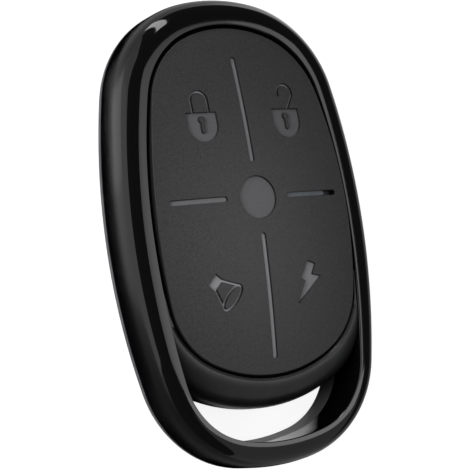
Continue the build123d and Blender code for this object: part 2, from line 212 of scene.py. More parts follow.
def grainFinish(name, low, high, grain, roughness, bump, ior, grooveShadeColour=None):
    # A moulded, pressed or plated surface: two near colours and a fine grain, its size in millimetres. Where
    # the piece's attribute marks a groove, it paints shade there: near-black colour and no gloss.
    material, add = newMaterial(name)
    place = add("ShaderNodeTexCoord").outputs["Object"]
    scale = 1 / (grain * mm)
    fine = add("ShaderNodeTexNoise", {"Scale": scale, "Detail": 3.0}, {"Vector": place})
    patches = {"Scale": grainShape["patches"] * scale, "Detail": 2.0}
    broad = add("ShaderNodeTexNoise", patches, {"Vector": place})
    blend = add("ShaderNodeMath", links={0: fine, 1: broad, 2: broad}, operation="MULTIPLY_ADD")
    colour = add("ShaderNodeValToRGB", links={"Fac": blend})
    for stop, share, shade in zip(colour.color_ramp.elements, grainShape["colourRange"], (low, high)):
        stop.position = share
        stop.color = toLinear(shade)
    rough = add("ShaderNodeMapRange", dict(enumerate(grainShape["roughRange"] + roughness, 1)), {0: fine})
    relief = {"Strength": bump, "Distance": grainShape["height"] * grain * mm}
    relief = add("ShaderNodeBump", relief, {"Height": fine})
    links = {"Base Color": colour, "Roughness": rough, "Normal": relief}
    # Painted shade in the groove: near-black colour and no gloss
    if grooveShadeColour:
        grooveShade = add("ShaderNodeAttribute", attribute_name="grooveShade").outputs["Fac"]
        dark = add("ShaderNodeMix", {7: toLinear(grooveShadeColour)}, {0: grooveShade, 6: colour}, data_type="RGBA")
        links["Base Color"] = dark.outputs[2]
        links["Specular IOR Level"] = add("ShaderNodeMapRange", {3: 0.5, 4: 0.0}, {0: grooveShade})
    surface = add("ShaderNodeBsdfPrincipled", {"IOR": ior} if ior else {"Metallic": 1.0}, links)
    add("ShaderNodeOutputMaterial", links={"Surface": surface})
    return material


def polishedBlack():
    # ABS moulded in a mirror-polished tool and lacquered: deep black, sharp reflections,
    # a very slight waviness and fine handling marks that only vary the gloss
    look = {"colour": "#050506", "marks": 0.25, "marksRange": (0.35, 0.75), "rough": (0.035, 0.075),
            "wave": 4.0, "waveHeight": 0.01, "waveShare": 0.25, "ior": 1.5}
    material, add = newMaterial("lacqueredBlackAbs")
    place = add("ShaderNodeTexCoord").outputs["Object"]
    marks = {"Scale": 1 / (look["marks"] * mm), "Detail": 4.0}
    marks = add("ShaderNodeTexNoise", marks, {"Vector": place})
    rough = add("ShaderNodeMapRange", dict(enumerate(look["marksRange"] + look["rough"], 1)), {0: marks})
    wave = {"Scale": 1 / (look["wave"] * mm), "Detail": 0.0}
    wave = add("ShaderNodeTexNoise", wave, {"Vector": place})
    relief = {"Strength": look["waveShare"], "Distance": look["waveHeight"] * mm}
    relief = add("ShaderNodeBump", relief, {"Height": wave})
    values = {"Base Color": toLinear(look["colour"]), "IOR": look["ior"]}
    lacquer = add("ShaderNodeBsdfPrincipled", values, {"Roughness": rough, "Normal": relief})
    add("ShaderNodeOutputMaterial", links={"Surface": lacquer})
    return material


def keypadRubber():
    # Silicone rubber with a soft-touch coating: matte charcoal with a fine spark-eroded grain.
    # The engraved floors come from polished inserts, so they are hardly grained, and their paler colour
    # is a painted sheen.
    # The real grain is about 0.1 mm; it is drawn at three times that so that it shows.
    # "floor" is a painted sheen on the engraved floors; "wall" is painted shade on their walls and the
    # sheet's edge
    look = {"sheet": "#222223", "fleck": "#3c3c3e", "floor": "#a6a6aa", "wall": "#080808", "rough": 0.4,
            "grain": 0.3, "grainRange": (0.22, 0.78), "grainHeight": 0.02, "reliefOnSheet": 0.35,
            "reliefOnFloor": 0.05, "ior": 1.5, "sheen": 0.02, "sheenRough": 0.5}
    material, add = newMaterial("softTouchSilicone")
    place = add("ShaderNodeTexCoord").outputs["Object"]
    grain = {"Scale": 1 / (look["grain"] * mm), "Detail": 3.0}
    grain = add("ShaderNodeTexNoise", grain, {"Vector": place})
    share = add("ShaderNodeMapRange", dict(enumerate(look["grainRange"], 1)), {0: grain})
    # Colours are laid over each other: the flecks by the grain, then by the mesh's own marks the painted
    # sheen of the floors and the painted shade of the walls
    colour = add("ShaderNodeMix", {6: toLinear(look["sheet"]), 7: toLinear(look["fleck"])}, {0: share},
                 data_type="RGBA")
    marks = {}
    for mark, shade in (("polishAndSheen", "floor"), ("wall", "wall")):
        marks[mark] = add("ShaderNodeAttribute", attribute_name=mark).outputs["Fac"]
        colour = add("ShaderNodeMix", {7: toLinear(look[shade])}, {0: marks[mark], 6: colour.outputs[2]},
                     data_type="RGBA")
    strength = add("ShaderNodeMapRange", {3: look["reliefOnSheet"], 4: look["reliefOnFloor"]},
                   {0: marks["polishAndSheen"]})
    relief = add("ShaderNodeBump", {"Distance": look["grainHeight"] * mm},
                 {"Height": grain, "Strength": strength})
    values = {"Roughness": look["rough"], "IOR": look["ior"], "Sheen Weight": look["sheen"],
              "Sheen Roughness": look["sheenRough"]}
    rubber = add("ShaderNodeBsdfPrincipled", values, {"Base Color": colour.outputs[2], "Normal": relief})
    add("ShaderNodeOutputMaterial", links={"Surface": rubber})
    return material


def smokedAcrylic():
    # Moulded smoke-grey acrylic with a faint blue cast, slightly cloudy so that it spreads the lamp's light
    look = {"smoke": "#6c7278", "haze": "#7a8086", "cloud": 1.2, "cloudRange": (0.3, 0.7),
            "rough": (0.12, 0.2), "clear": 0.25, "ior": 1.49}
    material, add = newMaterial("smokedAcrylic")
    place = add("ShaderNodeTexCoord").outputs["Object"]
    cloud = {"Scale": 1 / (look["cloud"] * mm), "Detail": 2.0}
    cloud = add("ShaderNodeTexNoise", cloud, {"Vector": place})
    colour = add("ShaderNodeMix", {6: toLinear(look["smoke"]), 7: toLinear(look["haze"])}, {0: cloud},
                 data_type="RGBA")
    rough = add("ShaderNodeMapRange", dict(enumerate(look["cloudRange"] + look["rough"], 1)), {0: cloud})
    values = {"IOR": look["ior"], "Transmission Weight": look["clear"]}
    acrylic = add("ShaderNodeBsdfPrincipled", values, {"Base Color": colour.outputs[2], "Roughness": rough})
    add("ShaderNodeOutputMaterial", links={"Surface": acrylic})
    return material


# Grained finishes by slot: name, the two colours, the grain's size, roughness, relief, and the IOR, which
# metals leave alone
grained = {
    # ABS from a finely eroded tool: satin, with soft broad highlights; its last colour is the painted shade
    # in the groove round the keypad
    "satin_case": ("satinAbs", "#1a1a1c", "#242426", 0.12, (0.3, 0.38), 0.08, 1.5, "#020202"),
    # The same plastic from a coarser tool: greyer where light grazes it
    "rear_plastic": ("texturedAbs", "#545456", "#626264", 0.18, (0.36, 0.48), 0.2, 1.5),
    # Clear epoxy lens of the lamp, milky so that the chip doesn't show
    "lamp_resin": ("milkyEpoxy", "#d8d6cc", "#e8e6dc", 0.3, (0.25, 0.35), 0.05, 1.53),
    # Glass-fibre laminate under green solder mask: weave shows faintly through the lacquer
    "board_laminate": ("solderMaskedLaminate", "#123a22", "#1c4c2e", 0.4, (0.22, 0.32), 0.1, 1.55),
    # Gold-flashed copper: warm metal with a fine plated grain
    "copper_trace": ("gildedCopper", "#b08444", "#c89a54", 0.1, (0.25, 0.35), 0.05, None),
    # Black moulding epoxy: matte with silica specks
    "chip_epoxy": ("mouldingEpoxy", "#161616", "#242424", 0.08, (0.55, 0.7), 0.15, 1.55),
    "plated_lid": ("nickelPlate", "#a8a8a4", "#bcbab4", 0.15, (0.22, 0.34), 0.05, None),
    # Fired alumina and barium titanate: chalky and pale brown
    "chip_ceramic": ("firedCeramic", "#8a7458", "#a08a6c", 0.1, (0.5, 0.65), 0.1, 1.6),
    "cell_steel": ("drawnStainless", "#b4b4b2", "#c6c6c4", 0.2, (0.2, 0.3), 0.04, None),
    "cell_seal": ("sealNylon", "#2a2a2c", "#363638", 0.15, (0.45, 0.6), 0.1, 1.53),
    # Phosphor bronze strip with a tin plate
    "contact_spring": ("tinnedBronze", "#b0aca0", "#c4c0b2", 0.12, (0.28, 0.4), 0.05, None),
    # Zinc-plated, black-passivated screws
    "screw_steel": ("passivatedZinc", "#3a3a3e", "#4c4c50", 0.1, (0.3, 0.42), 0.08, None),
    # Glass-filled nylon base of the switches
    "switch_moulding": ("glassNylon", "#202022", "#2e2e30", 0.1, (0.5, 0.62), 0.12, 1.53),
    "switch_steel": ("stampedStainless", "#b8b8b6", "#cccccc", 0.15, (0.25, 0.35), 0.04, None),
    "switch_stem": ("stemPolyamide", "#c8c4b8", "#d6d2c6", 0.12, (0.4, 0.5), 0.06, 1.53),
}
finishes = {"gloss_loop": polishedBlack(), "keypad_rubber": keypadRubber(), "smoked_window": smokedAcrylic()}
for slotName, look in grained.items():
    finishes[slotName] = grainFinish(*look)
print("materials made:", len(finishes))


# Glossy front half of the loop: one section swept round the inner wall

loopTrim = {"band": 4.05, "flat": 0.15, "height": 9.6, "parting": 3.06, "roundness": 3.2,
            "lipRadius": 0.45, "sectionSteps": 40, "lipSteps": 5, "pathStep": 0.35, "sharpFrom": 28}


def sweepTree():
    tree = bpy.data.node_groups.new("loopSection", "GeometryNodeTree")
    add = partial(addNode, tree)
    kinds = {"Path": "Geometry", "Band": "Float", "Flat": "Float", "Height": "Float", "Parting": "Float",
             "Roundness": "Float", "Lip Radius": "Float", "Section Steps": "Int", "Lip Steps": "Int",
             "Finish": "Material"}
    for name, kind in kinds.items():
        tree.interface.new_socket(name, in_out="INPUT", socket_type="NodeSocket" + kind)
    tree.interface.new_socket("Mesh", in_out="OUTPUT", socket_type="NodeSocketGeometry")
    given = add("NodeGroupInput").outputs
    # Points of the section: bottom of the inner wall, the outer curve, then the lip's corner
    count = add("ShaderNodeMath", {1: 2.0}, {0: given["Section Steps"]}, operation="ADD")
    line = add("GeometryNodeMeshLine", links={"Count": count})
    index = add("GeometryNodeInputIndex")
    first = add("FunctionNodeCompare", {3: 0}, {2: index}, data_type="INT", operation="EQUAL")
    last = add("FunctionNodeCompare", links={2: index, 3: given["Section Steps"]},
               data_type="INT", operation="GREATER_THAN")
    # The outer curve is a superellipse about half the height, from the parting plane to the flat top
    half = add("ShaderNodeMath", {1: 0.5}, {0: given["Height"]}, operation="MULTIPLY")
    below = add("ShaderNodeMath", links={0: given["Parting"], 1: half}, operation="DIVIDE")
    below = add("ShaderNodeMath", {0: 1.0}, {1: below}, operation="SUBTRACT")
    power = add("ShaderNodeMath", {0: 2.0}, {1: given["Roundness"]}, operation="DIVIDE")
    root = add("ShaderNodeMath", {0: 1.0}, {1: power}, operation="DIVIDE")
    below = add("ShaderNodeMath", links={0: below, 1: root}, operation="POWER")
    below = add("ShaderNodeMath", links={0: below}, operation="ARCSINE")
    start = add("ShaderNodeMath", {1: -1.0}, {0: below}, operation="MULTIPLY")
    turn = add("ShaderNodeMapRange", {1: 1.0, 4: pi / 2},
               {0: index, 2: given["Section Steps"], 3: start})
    reach = {}
    for name, wave in (("across", "COSINE"), ("up", "SINE")):
        value = add("ShaderNodeMath", links={0: turn}, operation=wave)
        side = add("ShaderNodeMath", links={0: value}, operation="SIGN")
        size = add("ShaderNodeMath", links={0: value}, operation="ABSOLUTE")
        size = add("ShaderNodeMath", links={0: size, 1: power}, operation="POWER")
        reach[name] = add("ShaderNodeMath", links={0: size, 1: side}, operation="MULTIPLY")
    width = add("ShaderNodeMath", links={0: given["Band"], 1: given["Flat"]}, operation="SUBTRACT")
    across = add("ShaderNodeMath", links={0: reach["across"], 1: width, 2: given["Flat"]},
                 operation="MULTIPLY_ADD")
    up = add("ShaderNodeMath", links={0: reach["up"], 1: half, 2: half}, operation="MULTIPLY_ADD")
    wall = add("FunctionNodeBooleanMath", links={0: first, 1: last}, operation="OR")
    across = add("GeometryNodeSwitch", {2: 0.0}, {0: wall, 1: across}, input_type="FLOAT")
    up = add("GeometryNodeSwitch", links={0: first, 1: up, 2: given["Parting"]}, input_type="FLOAT")
    down = add("ShaderNodeMath", {1: -1.0}, {0: up}, operation="MULTIPLY")
    spot = add("ShaderNodeCombineXYZ", links={0: across, 1: down})
    placed = add("GeometryNodeSetPosition", links={"Geometry": line, "Position": spot})
    section = add("GeometryNodeMeshToCurve", links={0: placed})
    section = add("GeometryNodeSetSplineCyclic", {"Cyclic": True}, {0: section})
    corner = add("GeometryNodeSwitch", {1: 0.0}, {0: last, 2: given["Lip Radius"]}, input_type="FLOAT")
    section = add("GeometryNodeFilletCurve",
                  links={"Curve": section, "Count": given["Lip Steps"], "Radius": corner}, mode="POLY")
    # Each point's share of the band, by which the section is stretched where the bar is wider
    place = add("GeometryNodeInputPosition")
    apart = add("ShaderNodeSeparateXYZ", links={0: place})
    share = add("ShaderNodeMath", links={0: apart, 1: given["Band"]}, operation="DIVIDE")
    section = add("GeometryNodeStoreNamedAttribute", {"Name": "share"},
                  {"Geometry": section, "Value": share}, data_type="FLOAT", domain="POINT")
    path = add("GeometryNodeMeshToCurve", links={0: given["Path"]})
    path = add("GeometryNodeSetCurveNormal", links={0: path}, mode="Z_UP")
    swept = add("GeometryNodeCurveToMesh", links={"Curve": path, "Profile Curve": section})
    share = add("GeometryNodeInputNamedAttribute", {"Name": "share"}, data_type="FLOAT")
    stretch = add("GeometryNodeInputNamedAttribute", {"Name": "stretch"}, data_type="FLOAT_VECTOR")
    shift = add("ShaderNodeVectorMath", links={0: stretch, "Scale": share}, operation="SCALE")
    fitted = add("GeometryNodeSetPosition", links={"Geometry": swept, "Offset": shift})
    real = add("GeometryNodeRealizeInstances", links={0: fitted})
    dressed = add("GeometryNodeSetMaterial", links={"Geometry": real, "Material": given["Finish"]})
    add("NodeGroupOutput", links={0: dressed})
    return tree


def makeLoopTrim():
    path = np.array(ovalPoints(outline["wallTop"], outline["wallLow"], 0, loopTrim["pathStep"]))
    along = np.roll(path, -1, axis=0) - np.roll(path, 1, axis=0)
    outwards = np.column_stack([along[:, 1], -along[:, 0]]) / np.hypot(*along.T)[:, None]
    band = np.full(len(path), loopTrim["band"])
    for repeat in range(6):   # the outer edge settles on the outline
        tips = path + outwards * band[:, None]
        band -= ovalField(tips[:, 0], tips[:, 1], outline["outerTop"], outline["outerLow"])
    flat = np.zeros((len(path), 1))
    piece = newPiece("glossLoop", np.hstack([path, flat]) * mm, [],
                     [(k, (k + 1) % len(path)) for k in range(len(path))])
    stretch = piece.data.attributes.new("stretch", "FLOAT_VECTOR", "POINT")
    wider = np.hstack([outwards * (band - loopTrim["band"])[:, None], flat]) * mm
    stretch.data.foreach_set("vector", wider.astype(np.float32).ravel())
    tree = sweepTree()
    modifier = piece.modifiers.new("section", "NODES")
    modifier.node_group = tree
    values = {"Band": loopTrim["band"] * mm, "Flat": loopTrim["flat"] * mm, "Height": loopTrim["height"] * mm,
              "Parting": loopTrim["parting"] * mm, "Roundness": loopTrim["roundness"],
              "Lip Radius": loopTrim["lipRadius"] * mm, "Section Steps": loopTrim["sectionSteps"],
              "Lip Steps": loopTrim["lipSteps"], "Finish": finishes["gloss_loop"]}
    for name, value in values.items():
        modifier[tree.interface.items_tree[name].identifier] = value
    plainMesh(piece)
    smooth(piece, loopTrim["sharpFrom"])
    standFor(piece, "loop_trim", "case")


# Painted shade on the floor of the groove round the keypad, where hardly any light reaches: how far it goes
# from the keypad's outline, its height, and how far it goes up and down
grooveShadeMark = {"inner": -0.3, "outer": 0.6, "floor": 8.4, "reach": 0.05}


def paintGrooveShade(piece):
    x, y, z = np.array([tuple(point.co) for point in piece.data.vertices]).T / mm
    outside = keypadField(x, y)
    onFloor = (outside > grooveShadeMark["inner"]) & (outside < grooveShadeMark["outer"])
    onFloor &= np.abs(z - grooveShadeMark["floor"]) < grooveShadeMark["reach"]
    mark = piece.data.attributes.new("grooveShade", "FLOAT", "POINT")
    mark.data.foreach_set("value", onFloor.astype(np.float32))


makeLoopTrim()
copyNode("rear_shell", "rearShell", "rear_plastic")
paintGrooveShade(copyNode("front_case", "frontCase", "satin_case"))
copyNode("light_pipe", "lampWindow", "smoked_window")
copyNode("case_screws", "caseScrews", "screw_steel")
print("loop and case made")


# Keypad: one domed rubber sheet, with its engraving as fields of signed distance

# "rimShade": the painted shade on the engraving's walls, and what facing right and up add. "edgeShade": the
# painted shade on the sheet's own edge, and how wide it is.
keypad = {"apex": 11.35, "acrossRadius": 130.0, "alongRadius": 165.0, "edgeRadius": 0.12, "bottom": 8.4,
          "keyBottom": 8.85, "border": 1.7, "crossHalf": 1.6, "hubBorder": 1.25, "slit": 0.004,
          "slitReach": 0.3, "depth": 0.3, "endDepth": 0.9, "hubRadius": 3.2, "lineWidth": 0.75,
          "lineInner": 5.4, "topEnd": 21.6, "bottomEnd": 24.0, "sideEnd": 14.85, "windowEnd": 12.6,
          "rim": 0.05, "rimShade": (0.75, 0.35, 0.2), "edgeShade": (0.8, 0.08), "sharpFrom": 50}
# How finely its net follows the outline, the zones and the engraving, with the cell and the step of their
# lines, and how far the open net keeps off them
netting = {"insets": (0.0, 0.03, 0.07, 0.12, 0.16, 0.4), "outlineStep": 0.35, "offOutline": 0.8,
           "zoneArea": (-17.5, -22.5, 17.5, 32.0), "zoneSteps": (0.2, 0.4), "offZones": 0.25,
           "rimLevels": (0.1, 0.05, 0.02, -0.02, -0.05, -0.1), "rimSteps": (0.06, 0.09),
           "offEngraving": 0.3, "spacing": 0.8, "area": (-18, -23, 18, 33)}
# Symbols, measured for the padlocks from the middle of the body's top, for the speaker from the magnet's back
symbols = {"stroke": 0.36, "closedAt": (-7.4, 17.35), "openAt": (7.7, 17.55), "bodyHalf": 2.55,
           "bodySides": 1.85, "keyholeDrop": 1.1, "keyholeHead": 0.55, "keyholeLeg": 2.05, "keyholeHalf": 0.3,
           "hoopFoot": 0.15, "hoopHalf": 1.37, "hoopLegs": 1.85,
           "hook": ((1.95, 2.2), (0.65, 3.85), (-0.77, 2.15)),
           "speakerAt": (-9.6, -7.3), "slant": -43, "magnet": (1.5, 1.03), "mouth": (4.25, 2.2),
           "bulge": 0.85,
           "bolt": ((7.6, -5.9), (9.0, -6.5), (8.2, -8.0), (9.8, -8.4), (5.1, -12.2), (6.8, -8.9),
                    (6.1, -8.4))}
zones = {"lock": (-1, 1), "unlock": (1, 1), "alarm": (-1, -1), "bolt": (1, -1)}
nub = {"radius": 1.5, "x": 8.1, "upperY": 17.0, "lowerY": -8.6, "foot": 7.3, "sides": 32}


def domeHeight(x, y):
    sag = keypad["acrossRadius"] - np.sqrt(keypad["acrossRadius"] ** 2 - x ** 2)
    radius = keypad["alongRadius"] - sag
    return keypad["apex"] - keypad["alongRadius"] + np.sqrt(radius ** 2 - (y - hubY) ** 2)


def boxField(x, y, centreX, centreY, halfX, halfY):
    dx = np.abs(x - centreX) - halfX
    dy = np.abs(y - centreY) - halfY
    return np.hypot(np.maximum(dx, 0), np.maximum(dy, 0)) + np.minimum(np.maximum(dx, dy), 0)


def strokeField(x, y, points, half):
    # Distance to a chain of straight strokes with round ends
    nearest = np.full_like(x, 1e3)
    for (ax, ay), (bx, by) in zip(points, points[1:]):
        dx, dy = bx - ax, by - ay
        share = np.clip(((x - ax) * dx + (y - ay) * dy) / (dx * dx + dy * dy), 0, 1)
        nearest = np.minimum(nearest, np.hypot(x - ax - share * dx, y - ay - share * dy))
    return nearest - half


def polygonField(x, y, points):
    edge = strokeField(x, y, points + points[:1], 0)
    inside = np.zeros(x.shape, bool)
    for (ax, ay), (bx, by) in zip(points, points[1:] + points[:1]):
        crosses = (ay > y) != (by > y)
        meet = ax + (y - ay) * (bx - ax) / (by - ay if by != ay else 1e-9)
        inside ^= crosses & (x < meet)
    return np.where(inside, -edge, edge)


def arcPoints(start, middle, end, count=18):
    # Points of the circular arc through three points
    (ax, ay), (bx, by), (cx, cy) = start, middle, end
    a, b, c = ax ** 2 + ay ** 2, bx ** 2 + by ** 2, cx ** 2 + cy ** 2
    d = 2 * (ax * (by - cy) + bx * (cy - ay) + cx * (ay - by))
    ux = (a * (by - cy) + b * (cy - ay) + c * (ay - by)) / d
    uy = (a * (cx - bx) + b * (ax - cx) + c * (bx - ax)) / d
    first = atan2(ay - uy, ax - ux)
    through = (atan2(by - uy, bx - ux) - first) % (2 * pi)
    sweep = (atan2(cy - uy, cx - ux) - first) % (2 * pi)
    if through > sweep:
        sweep -= 2 * pi
    radius = hypot(ax - ux, ay - uy)
    turns = [first + sweep * k / count for k in range(count + 1)]
    return [(ux + radius * cos(turn), uy + radius * sin(turn)) for turn in turns]


def lockBody(x, y, centre, top):
    # Flat top, straight sides and a round bottom, with a keyhole that stays proud
    half, straight = symbols["bodyHalf"], symbols["bodySides"]
    sides = np.maximum(np.abs(x - centre) - half, top - straight - y)
    bowl = np.hypot(x - centre, y - top + straight) - half
    body = np.maximum(np.minimum(sides, bowl), y - top)
    drop, legHalf = symbols["keyholeDrop"], symbols["keyholeHalf"]
    head = np.hypot(x - centre, y - top + drop) - symbols["keyholeHead"]
    leg = [(centre, top - drop - legHalf), (centre, top - drop - symbols["keyholeLeg"] + legHalf)]
    return np.maximum(body, -np.minimum(head, strokeField(x, y, leg, legHalf)))


def closedHoop(x, y):
    centre, top = symbols["closedAt"]
    half, legs, foot = symbols["hoopHalf"], symbols["hoopLegs"], top + symbols["hoopFoot"]
    hoop = arcPoints((centre - half, top + legs), (centre, top + legs + half), (centre + half, top + legs))
    path = [(centre - half, foot)] + hoop + [(centre + half, foot)]
    return strokeField(x, y, path, symbols["stroke"] / 2)


def openHoop(x, y):
    centre, top = symbols["openAt"]
    hook = [(centre + across, top + up) for across, up in symbols["hook"]]
    path = [(hook[1][0], top + symbols["hoopFoot"])] + arcPoints(*hook)
    return strokeField(x, y, path, symbols["stroke"] / 2)


def padlock(place, hoop, x, y):
    return np.minimum(lockBody(x, y, *symbols[place]), hoop(x, y))


def hornAndMagnet(x, y):
    # Drawn along the speaker's own axis, which is turned to its slant
    startX, startY = symbols["speakerAt"]
    slant, half = radians(symbols["slant"]), symbols["stroke"] / 2
    (magnet, magnetHalf), (mouth, mouthHalf) = symbols["magnet"], symbols["mouth"]
    u = (x - startX) * cos(slant) + (y - startY) * sin(slant)
    v = -(x - startX) * sin(slant) + (y - startY) * cos(slant)
    turns = [k * pi / 24 for k in range(49)]
    ring = [(mouth + symbols["bulge"] * cos(turn), mouthHalf * sin(turn)) for turn in turns]
    horn = strokeField(u, v, ring, half)
    for side in (1, -1):
        edge = [(magnet - half, side * (magnetHalf - half)), (mouth, side * mouthHalf)]
        horn = np.minimum(horn, strokeField(u, v, edge, half))
    return horn, boxField(u, v, magnet / 2, 0, magnet / 2, magnetHalf)


def hornOnly(x, y):
    return hornAndMagnet(x, y)[0]


def loudspeaker(x, y):
    return np.minimum(*hornAndMagnet(x, y))


def lightning(x, y):
    return polygonField(x, y, symbols["bolt"])


def lineField(x, y, start, end, across=False):
    # A dividing line with round ends, measured from the hub
    half = keypad["lineWidth"] / 2
    inner, outer = (start + half, end - half) if end > start else (start - half, end + half)
    if across:
        return strokeField(x, y, [(inner, hubY), (outer, hubY)], half)
    return strokeField(x, y, [(0.0, hubY + inner), (0.0, hubY + outer)], half)


def windowField(x, y):
    centre = (keypad["lineInner"] + keypad["windowEnd"]) / 2
    return boxField(x, y, centre, hubY, keypad["windowEnd"] - centre, keypad["lineWidth"] / 2)


def hubField(x, y):
    return np.hypot(x, y - hubY) - keypad["hubRadius"]


# Each engraved feature with the box that holds it, its depth, the painted sheen of its floor, and its thin
# strokes with theirs
inner, depth, windowBox = keypad["lineInner"], keypad["depth"], (4.8, 3.3, 13.2, 5.1)
features = [
    (partial(padlock, "closedAt", closedHoop), (-10.4, 12.5, -4.4, 21.1), depth, 0.2, closedHoop, 0.65),
    (partial(padlock, "openAt", openHoop), (4.7, 12.7, 10.9, 22.1), depth, 0.2, openHoop, 0.55),
    (loudspeaker, (-10.9, -13.3, -3.2, -5.6), depth, 0.75, hornOnly, 0.95),
    (lightning, (4.6, -12.8, 10.4, -5.3), depth, 0.6, None, 0.0),
    (hubField, (-3.7, 0.5, 3.7, 7.9), depth, 0.2, None, 0.0),
    (windowField, windowBox, 0.0, 0.0, None, 0.0),
]
for start, end, across, box, level in [
        (inner, keypad["topEnd"], False, (-0.9, 9.1, 0.9, 26.3), 0.65),
        (-inner, -keypad["bottomEnd"], False, (-0.9, -20.3, 0.9, -0.7), 1.0),
        (-inner, -keypad["sideEnd"], True, (-15.4, 3.3, -4.9, 5.1), 0.35),
        (keypad["windowEnd"] - keypad["lineWidth"], keypad["sideEnd"], True, (11.2, 3.3, 15.4, 5.1), 0.0)]:
    # The far end of the window's line is a deeper slot, painted dark as shade
    low = keypad["endDepth"] if level == 0 else depth   # the far end of the window's line is a deep dark slot
    features.append((partial(lineField, start=start, end=end, across=across), box, low, level, None, 0.0))


def contourLoops(field, level, box, cell, step):
    # Closed lines along which the field has that level, with evenly spaced points
    xs = np.arange(box[0], box[2] + cell, cell)
    ys = np.arange(box[1], box[3] + cell, cell)
    gridX, gridY = np.meshgrid(xs, ys, indexing="ij")
    value = field(gridX, gridY) - level
    inside = value < 0
    counts = inside[:-1, :-1].astype(int) + inside[1:, :-1] + inside[:-1, 1:] + inside[1:, 1:]
    spots, joined = {}, {}
    for i, j in zip(*np.nonzero((counts > 0) & (counts < 4))):
        corners = [(i, j), (i + 1, j), (i + 1, j + 1), (i, j + 1)]
        cuts = []
        for a, b in zip(corners, corners[1:] + corners[:1]):
            if inside[a] != inside[b]:
                key = (min(a, b), max(a, b))
                share = value[a] / (value[a] - value[b])
                spots[key] = [axis[p] + share * (axis[q] - axis[p]) for axis, p, q in zip((xs, ys), a, b)]
                cuts.append(key)
        for a, b in zip(cuts[::2], cuts[1::2]):
            joined.setdefault(a, []).append(b)
            joined.setdefault(b, []).append(a)
    loops = []
    while joined:
        start = next(iter(joined))
        walk, here = [start], joined.pop(start)[0]
        while here in joined:
            ahead = [k for k in joined.pop(here) if k != walk[-1]]
            walk.append(here)
            here = ahead[0] if ahead else None
        ring = np.array([spots[k] for k in walk + [start]])
        length = np.concatenate([[0], np.cumsum(np.hypot(*np.diff(ring, axis=0).T))])
        count = max(8, round(length[-1] / step))
        even = np.linspace(0, length[-1], count, endpoint=False)
        loops.append(np.column_stack([np.interp(even, length, ring[:, k]) for k in (0, 1)]))
    return loops


def zoneField(name, x, y):
    # Negative inside one pressing zone
    sideX, sideY = zones[name]
    edge = keypadField(x, y) + keypad["border"]
    cross = np.maximum(keypad["crossHalf"] - sideX * x, keypad["crossHalf"] - sideY * (y - hubY))
    hub = keypad["hubRadius"] + keypad["hubBorder"] - np.hypot(x, y - hubY)
    return np.maximum(np.maximum(edge, cross), hub)


def keypadNet():
    # Triangles of the whole sheet, whose edges follow the outline, the zones and the engraving
    points, edges = [], []

    def addLoop(ring):
        base = len(points)
        points.extend(map(Vector, ring))
        edges.extend((base + k, base + (k + 1) % len(ring)) for k in range(len(ring)))

    for inset in netting["insets"]:
        addLoop(ovalPoints(outline["keypadTop"], outline["keypadLow"], -inset, netting["outlineStep"]))
    lines = [(partial(zoneField, name), 0.0, netting["zoneArea"], *netting["zoneSteps"]) for name in zones]
    lines += [(field, level, box, *netting["rimSteps"])
              for field, box, *rest in features for level in netting["rimLevels"]]
    lines.append((windowField, 0.0, windowBox, *netting["rimSteps"]))
    for line in lines:
        for ring in contourLoops(*line):
            addLoop(ring)
    left, low, right, high = netting["area"]
    space = netting["spacing"]
    rows, columns = np.arange(low, high, space * sqrt(0.75)), np.arange(left, right, space)
    grid = np.array([(x + (k % 2) * space / 2, y) for k, y in enumerate(rows) for x in columns])
    x, y = grid.T
    clear = keypadField(x, y) < -netting["offOutline"]
    for field, *rest in features:
        clear &= np.abs(field(x, y)) > netting["offEngraving"]
    for name in zones:
        clear &= np.abs(zoneField(name, x, y)) > netting["offZones"]
    points.extend(map(Vector, grid[clear]))
    found = delaunay_2d_cdt(points, edges, [], 0, 1e-6)
    return np.array([tuple(p) for p in found[0]]), np.array([tuple(f) for f in found[2]])


def slopes(field, x, y, hair=0.02):
    # How fast a field grows towards +X and towards +Y
    return [(field(x + a, y + b) - field(x - a, y - b)) / (2 * hair) for a, b in ((hair, 0), (0, hair))]


def engraving(x, y):
    # How far the engraving lies below the dome, how much painted sheen its floor gets, and how much painted
    # shade its walls get
    drop, polishAndSheen, wall = np.zeros((3, len(x)))
    edge = keypad["rim"]
    base, right, up = keypad["rimShade"]
    for field, box, low, broad, strokes, strokeSheen in features:
        near = (x > box[0]) & (x < box[2]) & (y > box[1]) & (y < box[3])
        distance = field(x[near], y[near])
        share = np.clip((edge - distance) / (2 * edge), 0, 1)
        share = share * share * (3 - 2 * share)
        drop[near] = np.maximum(drop[near], share * low)
        # Strokes may get more painted sheen than the floor beside them
        thin = np.clip(0.5 - strokes(x[near], y[near]) / edge, 0, 1) if strokes else 0.0
        polishAndSheen[near] = np.maximum(polishAndSheen[near], share * (broad + (strokeSheen - broad) * thin))
        slopeX, slopeY = slopes(field, x[near], y[near])
        # Painted shade on the walls, darkest on the right and upper sides of each feature, away from the
        # light
        shaded = np.clip(base + right * slopeX + up * slopeY, 0, 1)
        line = np.clip(1.5 - np.abs(distance) / edge, 0, 1)
        wall[near] = np.maximum(wall[near], line * shaded)
        # The deep slot is painted wholly dark as shade
        if low > depth:
            wall[near] = np.maximum(wall[near], share)
    return drop, polishAndSheen, wall


def pulledIn(name, spots):
    # Points round a zone are drawn in by a hair, so that its walls slide freely in the sheet
    x, y = spots.T
    field = partial(zoneField, name)
    near = np.clip(1 - np.abs(field(x, y)) / keypad["slitReach"], 0, 1)
    return spots - keypad["slit"] * (near * np.array(slopes(field, x, y))).T


